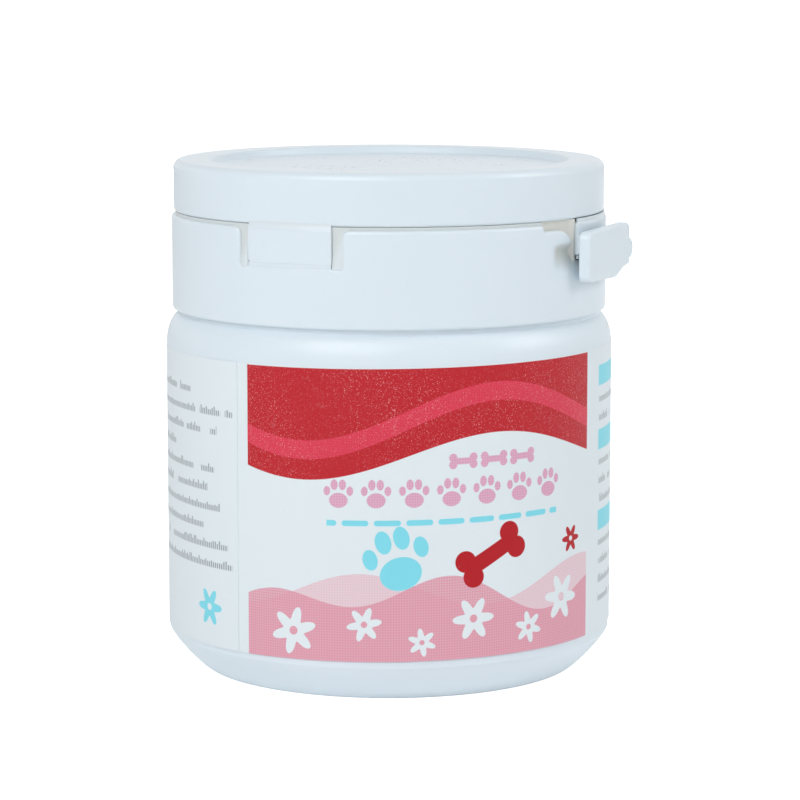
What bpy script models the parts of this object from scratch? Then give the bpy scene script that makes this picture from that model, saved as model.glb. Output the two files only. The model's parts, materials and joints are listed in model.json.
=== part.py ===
"""A small powder jar with a wrap label and a one-piece flip cap: collar, hinged lid, tear strip and pull tab.

Blender 4.5, metres, +Z up. The jar stands on z = 0 with its axis on Z. The cap's own frame is turned about Z
so that its hinge faces local -Y, and angles round the cap are counted from the hinge, anticlockwise seen from
above.
"""

import math

import bmesh
import bpy
from mathutils import Matrix, Vector

MM = 0.001
SEGMENTS = 72
SECTOR_STEP = math.radians(5.0)
ARC_STEPS = 6
AXIS_MERGE = 0.00001

# Jar
BODY_RADIUS = 21.0 * MM
WALL = 1.2 * MM
FLOOR = 1.5 * MM
HEEL_WIDTH = 3.2 * MM
HEEL_HEIGHT = 3.5 * MM
HEEL_FULLNESS = 1.15
INNER_HEEL_RADIUS = 2.5 * MM
SHOULDER_HEIGHT = 33.65 * MM
SHOULDER_WIDTH = 1.8 * MM
SHOULDER_DROP = 3.0 * MM
NECK_WALL = 1.3 * MM
NECK_HEIGHT = 8.55 * MM
BEAD_DEPTH = 0.35 * MM
BEAD_HEIGHT = 1.2 * MM
NECK_BEAD_RISE = 1.9 * MM

# Label
LABEL_RISE = 0.5 * MM
LABEL_HEIGHT = 26.55 * MM
LABEL_THICKNESS = 0.1 * MM
LABEL_GAP = 0.05 * MM

# Powder
POWDER_DEPTH = 17.5 * MM
POWDER_GAP = 0.1 * MM

# Cap, shared by its pieces
HINGE_AZIMUTH = math.radians(-26.2)
CAP_INSET = 0.58 * MM
CAP_WALL = 1.1 * MM
NECK_CLEARANCE = 0.55 * MM
SEAT_GAP = 0.3 * MM
COLLAR_HEIGHT = 8.75 * MM
COLLAR_EDGE_RADIUS = 0.35 * MM
COLLAR_BEAD_REACH = 0.15 * MM
CREASE_DROP = 3.28 * MM

# Hinge strap, with the notch on each side of it
STRAP_WIDTH = 8.5 * MM
NOTCH_WIDTH = 0.95 * MM
NOTCH_CORNER_RADIUS = 0.7 * MM

# Lid
LID_INSET = 0.2 * MM
LID_HEIGHT = 4.78 * MM
LID_WALL = 1.1 * MM
LID_EDGE_RADIUS = 1.0 * MM
LID_FOOT_RADIUS = 0.3 * MM
PANEL_RIM = 3.75 * MM
PANEL_DROP = 0.7 * MM
PANEL_SLOPE = 0.35 * MM
PANEL_THICKNESS = 1.0 * MM
PLUG_CLEARANCE = 0.35 * MM
PLUG_WALL = 0.95 * MM
PLUG_REACH = 1.3 * MM

# Tear strip, with the step and the finger scoop in the collar before its start
STRIP_START = math.radians(83.6)
STRIP_WALL = 1.0 * MM
STEP_START = math.radians(69.7)
STEP_DEPTH = 0.55 * MM
STEP_LEVEL = 2.0 * MM
SCOOP_AZIMUTH = math.radians(80.2)
SCOOP_RADIUS = 4.8 * MM
SCOOP_DEPTH = 0.7 * MM
SCOOP_SEGMENTS = 24

# Pull tab
TAB_AZIMUTH = math.radians(92.2)
TAB_LENGTH = 10.7 * MM
TAB_HEIGHT = 4.55 * MM
TAB_THICKNESS = 1.1 * MM
TAB_LEAD = 4.2 * MM
TAB_TOP_DROP = 0.85 * MM
TAB_CORNER_RADIUS = 0.7 * MM
TAB_HEEL_LENGTH = 4.0 * MM
TAB_HEEL_HEIGHT = 1.1 * MM
NUB_RADIUS = 1.0 * MM
NUB_REACH = 0.9 * MM

# Worked out from the sizes above
LABEL_SEAT_RADIUS = BODY_RADIUS - LABEL_THICKNESS - LABEL_GAP
LABEL_BOTTOM = HEEL_HEIGHT + LABEL_RISE
LABEL_TOP = LABEL_BOTTOM + LABEL_HEIGHT
CAP_RADIUS = BODY_RADIUS - CAP_INSET
LID_RADIUS = CAP_RADIUS - LID_INSET
COLLAR_INNER_RADIUS = CAP_RADIUS - CAP_WALL
NECK_RADIUS = COLLAR_INNER_RADIUS - NECK_CLEARANCE
INNER_RADIUS = LABEL_SEAT_RADIUS - WALL
NECK_INNER_RADIUS = NECK_RADIUS - NECK_WALL
RIM_HEIGHT = SHOULDER_HEIGHT + NECK_HEIGHT
COLLAR_BOTTOM = SHOULDER_HEIGHT + SEAT_GAP
COLLAR_TOP = COLLAR_BOTTOM + COLLAR_HEIGHT
LOWER_CREASE = COLLAR_TOP - CREASE_DROP
UPPER_CREASE = COLLAR_TOP + SEAT_GAP / 2
LID_BOTTOM = COLLAR_TOP + SEAT_GAP
LID_TOP = LID_BOTTOM + LID_HEIGHT
BAND_BOTTOM = LOWER_CREASE + SEAT_GAP / 2
WINDOW_BOTTOM = LOWER_CREASE - SEAT_GAP / 2
CUT_ABOVE = LID_TOP
CUT_INSIDE = NECK_INNER_RADIUS
CUT_OUTSIDE = CAP_RADIUS + CAP_WALL


def clear_scene():
    for obj in list(bpy.data.objects):
        bpy.data.objects.remove(obj, do_unlink=True)


def material(name, colour, roughness):
    """A Principled material with no metal in it."""
    made = bpy.data.materials.new(name)
    made.use_nodes = True
    shader = made.node_tree.nodes["Principled BSDF"]
    shader.inputs["Base Color"].default_value = (*colour, 1.0)
    shader.inputs["Roughness"].default_value = roughness
    shader.inputs["Metallic"].default_value = 0.0
    return made


def place(name, mesh, finish=None, parent=None):
    """An object of this mesh in the scene, under its parent."""
    obj = bpy.data.objects.new(name, mesh)
    bpy.context.scene.collection.objects.link(obj)
    if finish:
        mesh.materials.append(finish)
    obj.parent = parent
    return obj


def arc(centre, radii, start, end, steps=ARC_STEPS):
    """Points along an arc in a flat plane, between two angles in degrees, ends included."""
    points = []
    for i in range(steps + 1):
        angle = math.radians(start + (end - start) * i / steps)
        points.append((centre[0] + radii[0] * math.cos(angle), centre[1] + radii[1] * math.sin(angle)))
    return points


def round_arc(centre, radius, start, end, steps=ARC_STEPS):
    return arc(centre, (radius, radius), start, end, steps)


def revolve(name, profile, closed, finish, parent=None):
    """A turned solid. The profile is (radius, height) points that run down its outer side."""
    mesh = bpy.data.meshes.new(name)
    edges = [(i, i + 1) for i in range(len(profile) - 1)]
    if closed:
        edges.append((len(profile) - 1, 0))
    mesh.from_pydata([(r, 0.0, z) for r, z in profile], edges, [])
    obj = place(name, mesh, finish, parent)
    screw = obj.modifiers.new("Revolve", "SCREW")
    screw.steps = SEGMENTS
    screw.render_steps = SEGMENTS
    screw.use_merge_vertices = True
    screw.merge_threshold = AXIS_MERGE
    return obj


def mesh_from(name, bm):
    """A mesh with its faces turned outwards."""
    bmesh.ops.recalc_face_normals(bm, faces=bm.faces)
    mesh = bpy.data.meshes.new(name)
    bm.to_mesh(mesh)
    bm.free()
    return mesh


def sector(name, profile, start, end):
    """The mesh of a ring cut between two angles from the hinge."""
    bm = bmesh.new()
    turn = Matrix.Rotation(start, 3, "Z")
    corners = [bm.verts.new(turn @ Vector((0.0, -r, z))) for r, z in profile]
    face = bm.faces.new(corners)
    steps = max(2, math.ceil((end - start) / SECTOR_STEP))
    bmesh.ops.spin(
        bm, geom=[face], axis=(0, 0, 1), cent=(0, 0, 0), angle=end - start, steps=steps, use_duplicate=False
    )
    return mesh_from(name, bm)


def slab(name, outline, azimuth, near, far):
    """A flat outline of (sideways, height) points, stretched between two distances from the cap's axis."""
    bm = bmesh.new()
    turn = Matrix.Rotation(azimuth, 3, "Z")
    face = bm.faces.new([bm.verts.new(turn @ Vector((x, -near, z))) for x, z in outline])
    grown = bmesh.ops.extrude_face_region(bm, geom=[face])["geom"]
    moved = [v for v in grown if isinstance(v, bmesh.types.BMVert)]
    bmesh.ops.translate(bm, verts=moved, vec=turn @ Vector((0.0, near - far, 0.0)))
    return mesh_from(name, bm)


def cut(obj, cutter_mesh, cap_frame):
    """Takes a mesh, given in the cap's frame, out of an object."""
    cutter = place(cutter_mesh.name, cutter_mesh, None, cap_frame)
    cutter.hide_render = True
    cutter.display_type = "WIRE"
    boolean = obj.modifiers.new(cutter_mesh.name, "BOOLEAN")
    boolean.operation = "DIFFERENCE"
    boolean.object = cutter


def empty(name, parent, location=(0, 0, 0)):
    made = place(name, None, None, parent)
    made.location = location
    return made


def carry(obj, pivot, pivot_in_cap):
    """Hangs an object modelled about the cap's axis on its joint's empty."""
    obj.parent = pivot
    obj.location = -pivot_in_cap


def jar_body(plastic):
    """Floor, wall, heel, label seat, shoulder and neck, from the inside of the floor round to the base."""
    inner_shoulder = SHOULDER_HEIGHT - WALL
    profile = [(0.0, FLOOR)]
    profile += round_arc(
        (INNER_RADIUS - INNER_HEEL_RADIUS, FLOOR + INNER_HEEL_RADIUS), INNER_HEEL_RADIUS, -90, 0
    )
    slope = INNER_RADIUS - NECK_INNER_RADIUS
    profile.append((INNER_RADIUS, inner_shoulder - slope))
    profile.append((NECK_INNER_RADIUS, inner_shoulder))
    profile.append((NECK_INNER_RADIUS, RIM_HEIGHT))
    profile.append((NECK_RADIUS, RIM_HEIGHT))
    bead_bottom = SHOULDER_HEIGHT + NECK_BEAD_RISE
    profile.append((NECK_RADIUS, bead_bottom + BEAD_HEIGHT))
    profile.append((NECK_RADIUS + BEAD_DEPTH, bead_bottom + BEAD_HEIGHT / 2))
    profile.append((NECK_RADIUS, bead_bottom))
    profile.append((NECK_RADIUS, SHOULDER_HEIGHT))
    shoulder_centre = (BODY_RADIUS - SHOULDER_WIDTH, SHOULDER_HEIGHT - SHOULDER_DROP)
    profile += arc(shoulder_centre, (SHOULDER_WIDTH, SHOULDER_DROP), 90, 0)
    profile.append((BODY_RADIUS, LABEL_TOP + LABEL_GAP))
    profile.append((LABEL_SEAT_RADIUS, LABEL_TOP + LABEL_GAP))
    profile += heel()
    profile.append((0.0, 0.0))
    return revolve("jar_body", profile, False, plastic)


def heel():
    """The tapered foot of the wall. Its fullness runs from 1, a straight chamfer, to 2, a quarter round."""
    power = 2 / HEEL_FULLNESS
    points = []
    for i in range(ARC_STEPS + 1):
        angle = math.radians(90 * i / ARC_STEPS)
        radius = LABEL_SEAT_RADIUS - HEEL_WIDTH + HEEL_WIDTH * abs(math.cos(angle)) ** power
        points.append((radius, HEEL_HEIGHT - HEEL_HEIGHT * math.sin(angle) ** power))
    return points


def wrap_label(paper):
    inner = LABEL_SEAT_RADIUS + LABEL_GAP
    outer = inner + LABEL_THICKNESS
    profile = [(inner, LABEL_TOP), (outer, LABEL_TOP), (outer, LABEL_BOTTOM), (inner, LABEL_BOTTOM)]
    return revolve("wrap_label", profile, True, paper)


def powder_fill(powder):
    radius = INNER_RADIUS - POWDER_GAP
    bottom = FLOOR + POWDER_GAP
    corner = INNER_HEEL_RADIUS
    profile = [(0.0, bottom + POWDER_DEPTH), (radius, bottom + POWDER_DEPTH)]
    profile += round_arc((radius - corner, bottom + corner), corner, 0, -90)
    profile.append((0.0, bottom))
    return revolve("powder_fill", profile, False, powder)


def cap_collar(plastic, cap_frame):
    """The ring on the neck, with a bead inside, cut away for the strap, the step, the scoop and the strip."""
    edge = COLLAR_EDGE_RADIUS
    bead_radius = NECK_RADIUS + COLLAR_BEAD_REACH
    profile = [(COLLAR_INNER_RADIUS, COLLAR_TOP), (CAP_RADIUS, COLLAR_TOP)]
    profile += round_arc((CAP_RADIUS - edge, COLLAR_BOTTOM + edge), edge, 0, -90)
    profile.append((bead_radius, COLLAR_BOTTOM))
    profile.append((bead_radius, COLLAR_BOTTOM + BEAD_HEIGHT / 2))
    profile.append((COLLAR_INNER_RADIUS, COLLAR_BOTTOM + BEAD_HEIGHT))
    collar = revolve("cap_collar", profile, True, plastic, cap_frame)
    cut(collar, slab("strap_window", strap_window(), 0.0, CUT_INSIDE, CUT_OUTSIDE), cap_frame)
    cut(collar, slab("step_before_strip", step_outline(), STEP_START, CUT_INSIDE, CUT_OUTSIDE), cap_frame)
    cut(collar, scoop("finger_scoop"), cap_frame)
    end_gap = SEAT_GAP / CAP_RADIUS
    window = [(r, z) for r in (CUT_INSIDE, CUT_OUTSIDE) for z in (WINDOW_BOTTOM, CUT_ABOVE)]
    window = [window[0], window[2], window[3], window[1]]
    start, end = STRIP_START - end_gap, math.tau - STRIP_START + end_gap
    cut(collar, sector("strip_window", window, start, end), cap_frame)
    return collar


def strap_window():
    """The opening for the strap and the notches beside it, with the collar's corners rounded."""
    mouth = STRAP_WIDTH / 2 + NOTCH_WIDTH
    corner = round_arc(
        (mouth + NOTCH_CORNER_RADIUS, COLLAR_TOP - NOTCH_CORNER_RADIUS), NOTCH_CORNER_RADIUS, 180, 90
    )
    right = [(mouth, WINDOW_BOTTOM), *corner, (corner[-1][0], CUT_ABOVE)]
    left = [(-x, z) for x, z in reversed(right)]
    return right + left


def step_outline():
    """The shallow step down in the collar's top edge, then a quarter round down to the strip's floor."""
    level = COLLAR_TOP - STEP_DEPTH
    drop = level - WINDOW_BOTTOM
    past = CAP_RADIUS * math.sin(STRIP_START - STEP_START)
    run = past - STEP_LEVEL
    quarter = arc((STEP_LEVEL, WINDOW_BOTTOM), (run, drop), 90, 0)
    return [(0.0, CUT_ABOVE), (0.0, level), *quarter, (past, CUT_ABOVE)]


def scoop(name):
    """The mesh of a ball that hollows the collar's outer face, so that a finger gets behind the tab."""
    bm = bmesh.new()
    bmesh.ops.create_uvsphere(
        bm, u_segments=SCOOP_SEGMENTS, v_segments=SCOOP_SEGMENTS // 2, radius=SCOOP_RADIUS
    )
    centre = Vector((0.0, -CAP_RADIUS - SCOOP_RADIUS + SCOOP_DEPTH, LOWER_CREASE))
    bmesh.ops.translate(bm, verts=bm.verts, vec=centre)
    bmesh.ops.rotate(bm, verts=bm.verts, matrix=Matrix.Rotation(SCOOP_AZIMUTH, 3, "Z"))
    return mesh_from(name, bm)


def band_profile(wall):
    """The section of a band that is flush with the collar, between the creases."""
    inner = CAP_RADIUS - wall
    return [(inner, BAND_BOTTOM), (CAP_RADIUS, BAND_BOTTOM), (CAP_RADIUS, COLLAR_TOP), (inner, COLLAR_TOP)]


def hinge_strap(plastic, pivot, pivot_in_cap):
    half_angle = STRAP_WIDTH / CAP_RADIUS / 2
    band = sector("hinge_strap", band_profile(CAP_WALL), -half_angle, half_angle)
    strap = place("hinge_strap", band, plastic)
    carry(strap, pivot, pivot_in_cap)
    return strap


def flip_lid(plastic, pivot, pivot_in_cap):
    """Skirt, rimmed top with a sunken panel, and the plug ring that closes the neck."""
    edge = LID_EDGE_RADIUS
    foot = LID_FOOT_RADIUS
    panel = LID_TOP - PANEL_DROP
    panel_radius = LID_RADIUS - PANEL_RIM
    underside = panel - PANEL_THICKNESS
    plug_outer = NECK_INNER_RADIUS - PLUG_CLEARANCE
    plug_bottom = RIM_HEIGHT - PLUG_REACH
    skirt_inner = LID_RADIUS - LID_WALL
    profile = [(0.0, panel), (panel_radius, panel), (panel_radius + PANEL_SLOPE, LID_TOP)]
    profile += round_arc((LID_RADIUS - edge, LID_TOP - edge), edge, 90, 0)
    profile += round_arc((LID_RADIUS - foot, LID_BOTTOM + foot), foot, 0, -90, 2)
    profile += [(skirt_inner, LID_BOTTOM), (skirt_inner, underside), (plug_outer, underside)]
    profile += [(plug_outer, plug_bottom), (plug_outer - PLUG_WALL, plug_bottom)]
    profile += [(plug_outer - PLUG_WALL, underside), (0.0, underside)]
    lid = revolve("flip_lid", profile, False, plastic)
    carry(lid, pivot, pivot_in_cap)
    return lid


def tear_strip(plastic, pivot, pivot_in_cap):
    mesh = sector("tear_strip", band_profile(STRIP_WALL), STRIP_START, math.tau - STRIP_START)
    strip = place("tear_strip", mesh, plastic)
    carry(strip, pivot, pivot_in_cap)
    return strip


def pull_tab(plastic, pivot, pivot_in_cap):
    """A flat plate that stands off the cap, rounded at its corners, with a nub on its far end."""
    top = COLLAR_TOP - TAB_TOP_DROP
    bottom = top - TAB_HEIGHT
    near = -TAB_LEAD
    far = near + TAB_LENGTH
    small = TAB_CORNER_RADIUS
    heel_radii = (TAB_HEEL_LENGTH, TAB_HEEL_HEIGHT)
    nub_middle = bottom + TAB_HEIGHT / 2
    outline = round_arc((near + small, bottom + small), small, 180, 270, 3)
    outline += arc((far - TAB_HEEL_LENGTH, bottom + TAB_HEEL_HEIGHT), heel_radii, 270, 360, 4)
    outline += arc((far, nub_middle), (NUB_REACH, NUB_RADIUS), -90, 90)
    outline += round_arc((far - small, top - small), small, 0, 90, 3)
    outline += round_arc((near + small, top - small), small, 90, 180, 3)
    inner = CAP_RADIUS + SEAT_GAP
    tab = place("pull_tab", slab("pull_tab", outline, TAB_AZIMUTH, inner, inner + TAB_THICKNESS), plastic)
    carry(tab, pivot, pivot_in_cap)
    return tab


def main():
    clear_scene()
    jar_plastic = material("jar_plastic", (0.74, 0.81, 0.87), 0.32)
    cap_plastic = material("cap_plastic", (0.72, 0.80, 0.87), 0.35)
    label_paper = material("label_paper", (0.80, 0.80, 0.82), 0.4)
    loose_powder = material("loose_powder", (0.62, 0.46, 0.22), 0.95)

    jar_body(jar_plastic)
    wrap_label(label_paper)
    powder_fill(loose_powder)

    cap_frame = empty("cap_frame", None)
    cap_frame.rotation_euler.z = HINGE_AZIMUTH
    cap_collar(cap_plastic, cap_frame)

    lower = Vector((0.0, -CAP_RADIUS, LOWER_CREASE))
    upper = Vector((0.0, -CAP_RADIUS, UPPER_CREASE))
    strap_pivot = empty("strap_pivot", cap_frame, lower)
    lid_pivot = empty("lid_pivot", strap_pivot, upper - lower)
    hinge_strap(cap_plastic, strap_pivot, lower)
    flip_lid(cap_plastic, lid_pivot, upper)

    band_middle = (BAND_BOTTOM + COLLAR_TOP) / 2
    root = Matrix.Rotation(-STRIP_START, 3, "Z") @ Vector((0.0, -CAP_RADIUS, band_middle))
    strip_pivot = empty("strip_pivot", cap_frame, root)
    tear_strip(cap_plastic, strip_pivot, root)

    tab_root = Vector((-TAB_LEAD, -CAP_RADIUS - SEAT_GAP, band_middle))
    tab_root = Matrix.Rotation(TAB_AZIMUTH, 3, "Z") @ tab_root
    tab_pivot = empty("tab_pivot", strip_pivot, tab_root - root)
    pull_tab(cap_plastic, tab_pivot, tab_root)

    bpy.context.view_layer.update()
    for pivot in (strap_pivot, lid_pivot, strip_pivot, tab_pivot):
        print(pivot.name, [round(x, 6) for x in pivot.matrix_world.translation])


main()
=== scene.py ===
"""The looks of a small powder jar with a tear-strip flip cap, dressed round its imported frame.

Metres, +Z up, as in the frame. Angles round the jar are counted from the front, -Y, anticlockwise seen
from above.
"""
import json
import math

import bmesh
import bpy
import numpy as np
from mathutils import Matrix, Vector, noise
from mathutils.geometry import delaunay_2d_cdt

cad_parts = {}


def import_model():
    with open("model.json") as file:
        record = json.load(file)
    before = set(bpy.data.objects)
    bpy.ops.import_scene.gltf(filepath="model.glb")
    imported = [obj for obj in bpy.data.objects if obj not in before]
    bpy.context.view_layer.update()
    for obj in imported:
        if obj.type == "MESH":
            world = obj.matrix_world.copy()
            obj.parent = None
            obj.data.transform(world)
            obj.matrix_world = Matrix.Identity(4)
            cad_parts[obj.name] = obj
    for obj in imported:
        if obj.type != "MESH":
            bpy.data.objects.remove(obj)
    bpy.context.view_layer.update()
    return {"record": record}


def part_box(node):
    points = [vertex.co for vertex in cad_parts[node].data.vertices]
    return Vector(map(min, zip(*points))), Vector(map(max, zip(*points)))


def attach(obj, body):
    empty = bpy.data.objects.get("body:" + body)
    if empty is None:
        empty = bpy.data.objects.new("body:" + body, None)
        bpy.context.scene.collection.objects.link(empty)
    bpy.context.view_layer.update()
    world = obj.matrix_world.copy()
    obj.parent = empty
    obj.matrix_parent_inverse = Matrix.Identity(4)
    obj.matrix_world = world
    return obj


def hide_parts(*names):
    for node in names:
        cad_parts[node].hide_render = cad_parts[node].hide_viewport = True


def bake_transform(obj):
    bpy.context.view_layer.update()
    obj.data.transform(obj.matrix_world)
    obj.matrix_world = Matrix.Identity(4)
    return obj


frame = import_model()
scene = bpy.context.scene
MM = 0.001

# Sizes and places that the frame gives
JOINTS = {joint["name"]: joint for joint in frame["record"]["behaviour"]["joints"]}
HINGE = Vector(JOINTS["lid_fold"]["pos_m"])
HINGE_ANGLE = math.atan2(HINGE.x, -HINGE.y)
CAP_RADIUS = math.hypot(HINGE.x, HINGE.y)
UPPER_CREASE = HINGE.z
BODY_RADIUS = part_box("jar_body")[1][0]
RIM_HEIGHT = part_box("jar_body")[1][2]
LABEL_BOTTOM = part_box("wrap_label")[0][2]
LABEL_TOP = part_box("wrap_label")[1][2]
POWDER_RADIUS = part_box("powder_fill")[1][0]
POWDER_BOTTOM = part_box("powder_fill")[0][2]
POWDER_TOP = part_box("powder_fill")[1][2]
COLLAR_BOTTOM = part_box("cap_collar")[0][2]
COLLAR_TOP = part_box("cap_collar")[1][2]
BAND_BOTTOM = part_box("hinge_strap")[0][2]
PLUG_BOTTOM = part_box("flip_lid")[0][2]
LID_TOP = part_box("flip_lid")[1][2]
TAB_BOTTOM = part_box("pull_tab")[0][2]
TAB_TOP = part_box("pull_tab")[1][2]
SEAT_GAP = 2 * (UPPER_CREASE - COLLAR_TOP)
WINDOW_BOTTOM = BAND_BOTTOM - SEAT_GAP
LID_BOTTOM = COLLAR_TOP + SEAT_GAP
SHOULDER_HEIGHT = COLLAR_BOTTOM - SEAT_GAP

# Mesh fineness
SEGMENTS = 192
CORNER_STEPS = 6
EDGE_STEPS = 4
HEEL_STEPS = 14
SHOULDER_STEPS = 12
GRID = 0.5 * MM
FINE_GRID = 0.3 * MM
FILM_GRID = 0.1 * MM
WELD = 0.001 * MM
SHARP = math.radians(38)
CLEAR_SHARE = 0.6

# Jar
WALL = 1.2 * MM
FLOOR = 1.5 * MM
INNER_HEEL = 2.5 * MM
HEEL_WIDTH = 3.2 * MM
HEEL_HEIGHT = 3.5 * MM
HEEL_FULLNESS = 1.15
SHOULDER_WIDTH = 1.8 * MM
SHOULDER_DROP = 3.0 * MM
NECK_CLEARANCE = 0.55 * MM
NECK_WALL = 1.3 * MM
NECK_EDGE = 0.2 * MM
NECK_BEAD_RISE = 1.9 * MM
NECK_BEAD_HEIGHT = 1.2 * MM
NECK_BEAD_DEPTH = 0.35 * MM
NECK_BEAD_EDGE = 0.25 * MM
NECK_BAND_CLEARANCE = 0.12 * MM
NECK_BAND_DROP = 1.0 * MM
NECK_BAND_EDGE = 0.12 * MM
RIM_EDGE = 0.35 * MM
INNER_BEND = 0.8 * MM
STOP_RING_INSET = 0.55 * MM
STOP_RING_ROOT = 0.1 * MM
STOP_RING_EDGE = 0.05 * MM
LIP_GAP = 0.02 * MM

# Label
LABEL_THICKNESS = 0.1 * MM
LABEL_SEAM_ANGLE = math.radians(-40.3)
LABEL_OVERLAP = math.radians(9)
LABEL_LIFT = 0.05 * MM
LABEL_PROUD = 0.02 * MM
LABEL_RISE = 0.1 * MM
LABEL_TILT = 0.2 * MM
LABEL_ROWS = 24
LABEL_LAP_COLUMNS = 6
LABEL_LAP = 0.3 * MM

# Powder
HEAP_HEIGHT = 1.6 * MM
LUMP_HEIGHT = 0.7 * MM
GRAIN_HEIGHT = 0.12 * MM
POWDER_RINGS = 48
LUMPS_PER_MM = 0.22
SMALL_LUMPS_PER_MM = 0.9
SMALL_LUMP_SHARE = 0.3
GRAINS_PER_MM = 4.0
HEAP_EDGE_POWER = 8

# Cap
CAP_WALL = 1.1 * MM
STRIP_WALL = 1.0 * MM
CAP_EDGE = 0.3 * MM
FOOT_EDGE = 0.28 * MM
FOOT_DROP = 0.1 * MM
CREASE_EDGE = 0.13 * MM
BACK_EDGE = 0.12 * MM
LIP_INSET = 0.35 * MM
LIP_THICKNESS = 0.5 * MM
START_LIP_INSET = 0.75 * MM
CREASE_LIP_INSET = 0.25 * MM
BACK_LIP_THICKNESS = 0.25 * MM
START_LIP_CLIMB = 0.45 * MM
LIP_CLIMB_LENGTH = 1.1 * MM
WEB_LIP_INSET = 0.12 * MM
WEB_LIP_THICKNESS = 0.25 * MM
LIP_LAP = 0.35 * MM
STRAP_WIDTH = 8.5 * MM
NOTCH_WIDTH = 0.95 * MM
NOTCH_CORNER = 0.7 * MM
NOTCH_FOOT = 0.25 * MM
WINDOW_CORNER = 0.35 * MM
STRAP_CORNER = 0.1 * MM
CREASE_END = 0.2 * MM
RAMP_DEPTH = 0.28 * MM
RAMP_SHALLOW = 0.04 * MM
RAMP_HEIGHT = 2.8 * MM
RAMP_THICKNESS = 0.4 * MM
RAMP_SLANT = 0.9
FILM_THICKNESS = 0.22 * MM
FILM_EDGE = 0.02 * MM
FILM_DEPTH = 0.05 * MM
FILM_LAP = 0.1 * MM
LIP_CORNER = 2 * FILM_EDGE

# Lid
LID_INSET = 0.2 * MM
LID_WALL = 1.1 * MM
LID_EDGE = 0.75 * MM
PANEL_RIM = 3.75 * MM
PANEL_DROP = 0.7 * MM
PANEL_SLOPE = 0.35 * MM
PANEL_THICKNESS = 1.0 * MM
PLUG_CLEARANCE = 0.35 * MM
PLUG_WALL = 0.95 * MM
SEAL_WIDTH = 0.8 * MM
SEAL_GAP = 0.01 * MM
SEAL_EDGE = 0.1 * MM
PANEL_EDGE = 0.3 * MM
SKIRT_ROOT = 0.4 * MM
PLUG_ROOT = 0.3 * MM
PLUG_EDGE = 0.25 * MM
PLUG_LEAD = 0.25 * MM
PLUG_LEAD_HEIGHT = 0.9 * MM
PLUG_BEND = 0.3 * MM

# Tear strip, and the step and finger hollow before it
STRIP_START = math.radians(83.6)
STRIP_NEAR = STRIP_START * CAP_RADIUS
STRIP_FAR = (math.tau - STRIP_START) * CAP_RADIUS
STEP_START = math.radians(69.7)
STEP_NEAR = STEP_START * CAP_RADIUS
STEP_DEPTH = 0.55 * MM
STEP_LEVEL = 2.0 * MM
STEP_CORNER = 0.32 * MM
STEP_FOOT = 0.2 * MM
STRIP_THIN = 0.45
STRIP_TAPER = 4.0 * MM
STRIP_CORNER = 0.4 * MM
HOLLOW_DEPTH = 0.65 * MM
HOLLOW_LEAD = 1.7 * MM
HOLLOW_TOP = 1.6 * MM
HOLLOW_FOOT = 4.9 * MM
HOLLOW_WALL = 0.8 * MM

# Pull tab
TAB_ANGLE = HINGE_ANGLE + math.radians(92.2)
TAB_LENGTH = 10.7 * MM
TAB_LEAD = 4.2 * MM
TAB_FLARE = 0.18 * MM
TAB_THICKNESS = 1.1 * MM
TAB_CORNER = 0.7 * MM
TAB_HEEL_LENGTH = 3.5 * MM
TAB_TOE_LENGTH = 1.7 * MM
TAB_TOE_RISE = 0.72 * MM
TAB_END_RISE = 0.98 * MM
TAB_HEEL_CORNER = 2.0 * MM
TAB_TOE_CORNER = 1.0 * MM
TAB_END_CORNER = 0.25 * MM
NUB_RADIUS = 1.0 * MM
NUB_REACH = 0.9 * MM
WEB_WIDTH = 0.9 * MM
WEB_FOOT = 0.15 * MM
WEB_DROP = 0.3 * MM
WEB_INSET = 1.1 * MM
WEB_LAP = 0.1 * MM
WEB_REACH = 0.8 * MM


# Mesh helpers


def around(angle, radius, height):
    """The point at this angle round the jar's axis."""
    return Vector((radius * math.sin(angle), -radius * math.cos(angle), height))


def smooth(low, high, value):
    """0 below low, 1 above high and a soft rise between them."""
    share = min(1.0, max(0.0, (value - low) / (high - low)))
    return share * share * (3 - 2 * share)


def soften(corners):
    """An outline with its corners rounded. A corner is (across, up, radius)."""
    points = []
    for i, (x, y, radius) in enumerate(corners):
        here = Vector((x, y))
        if radius == 0:
            points.append(here)
            continue
        back = (Vector(corners[i - 1][:2]) - here).normalized()
        on = (Vector(corners[(i + 1) % len(corners)][:2]) - here).normalized()
        half = back.angle(on) / 2
        centre = here + (back + on).normalized() * radius / math.sin(half)
        start = here + back * radius / math.tan(half) - centre
        end = here + on * radius / math.tan(half) - centre
        turn = start.angle(end)
        for k in range(CORNER_STEPS + 1):
            first = math.sin(turn * (1 - k / CORNER_STEPS)) / math.sin(turn)
            second = math.sin(turn * k / CORNER_STEPS) / math.sin(turn)
            points.append(centre + start * first + end * second)
    return points


def quarter(centre, radii, steps, start=0.0):
    """Points along a quarter of an ellipse, anticlockwise from an angle."""
    points = []
    for k in range(steps + 1):
        angle = start + math.pi / 2 * k / steps
        across = centre[0] + radii[0] * math.cos(angle)
        points.append(Vector((across, centre[1] + radii[1] * math.sin(angle))))
    return points


def spread(outline, spacing):
    """The closed outline with points added, so that none are further apart than the spacing."""
    points = []
    for i, here in enumerate(outline):
        ahead = outline[(i + 1) % len(outline)]
        count = max(1, math.ceil((ahead - here).length / spacing - 0.01))
        points += [here.lerp(ahead, k / count) for k in range(count)]
    return points


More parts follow.
